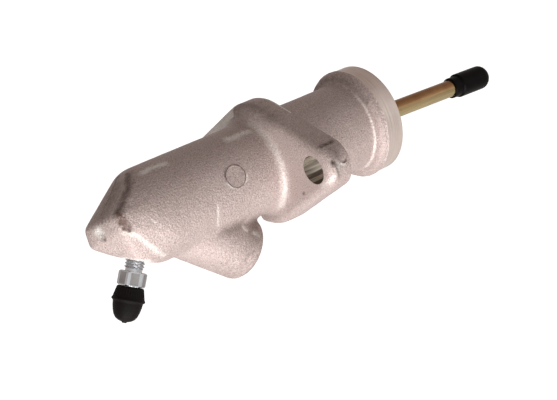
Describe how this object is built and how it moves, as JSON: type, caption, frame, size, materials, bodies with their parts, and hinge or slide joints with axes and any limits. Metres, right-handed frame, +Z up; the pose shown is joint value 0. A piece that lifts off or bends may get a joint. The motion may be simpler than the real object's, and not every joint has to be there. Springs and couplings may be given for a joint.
{
  "type": "clutch slave cylinder",
  "caption": "Hydraulic clutch slave cylinder: cast body with a two-bolt flange and spigot, leaning inlet boss, capped bleed screw, and a sprung piston behind a capped pushrod.",
  "frame": {"origin": "on the bore's axis, in the plane of the flange's machined seating face", "axes": "+X along the bore out of its open mouth, the pushrod's side; +Z up, with the inlet boss and the bleed screw below; the two flange ears along +Y and -Y"},
  "size_m": [0.2325, 0.1, 0.0681],
  "materials": {
    "cast_aluminium": "blasted",
    "anodised_aluminium": "satin",
    "bright_steel": "satin",
    "spring_steel": "satin",
    "bright_zinc_steel": "bright",
    "yellow_zinc_steel": "bright",
    "brass": "satin",
    "black_rubber": "matte",
    "black_plastic": "satin",
    "guide_band": "matte",
    "acetal": "satin"
  },
  "bodies": {
    "cylinder": {"cylinder_body": "cast_aluminium", "inlet_seat": "brass", "spring_base": "bright_steel", "return_spring": "spring_steel", "stop_washer": "bright_steel", "snap_ring": "spring_steel", "dust_boot": "black_rubber", "boot_ring": "bright_steel"},
    "piston": {"piston": "anodised_aluminium", "piston_cup": "black_rubber", "wiper_cup": "black_rubber", "guide_ring": "guide_band", "ball_socket": "acetal", "rod_clip": "spring_steel", "spring_seat": "bright_steel"},
    "pushrod": {"pushrod": "yellow_zinc_steel", "pushrod_cap": "black_plastic", "boot_clamp": "bright_steel"},
    "bleed_screw": {"bleed_screw": "bright_zinc_steel"},
    "bleed_cap": {"bleed_cap": "black_rubber"}
  },
  "joints": [
    {"name": "piston_slide", "type": "slide", "parent": "cylinder", "child": "piston", "axis": [1, 0, 0], "range_m": [-0.034, 0], "stiffness_N_per_m": 400, "springref_m": 0.02, "deforming": ["return_spring", "dust_boot"]},
    {"name": "rod_swing", "type": "hinge", "parent": "piston", "child": "pushrod", "pos_m": [0.0218, 0, 0], "axis": [0, 1, 0], "range_deg": [-7.6, 2.4], "stiffness_Nm_per_rad": 0.6, "springref_deg": -2.6, "deforming": ["dust_boot"]},
    {"name": "bleed_turn", "type": "hinge", "parent": "cylinder", "child": "bleed_screw", "pos_m": [-0.0808, -0.006, -0.0129], "axis": [-0.515, 0, -0.8572], "range_deg": [0, 360]},
    {"name": "cap_pull", "type": "slide", "parent": "bleed_screw", "child": "bleed_cap", "axis": [-0.515, 0, -0.8572], "range_m": [0, 0.012]}
  ]
}
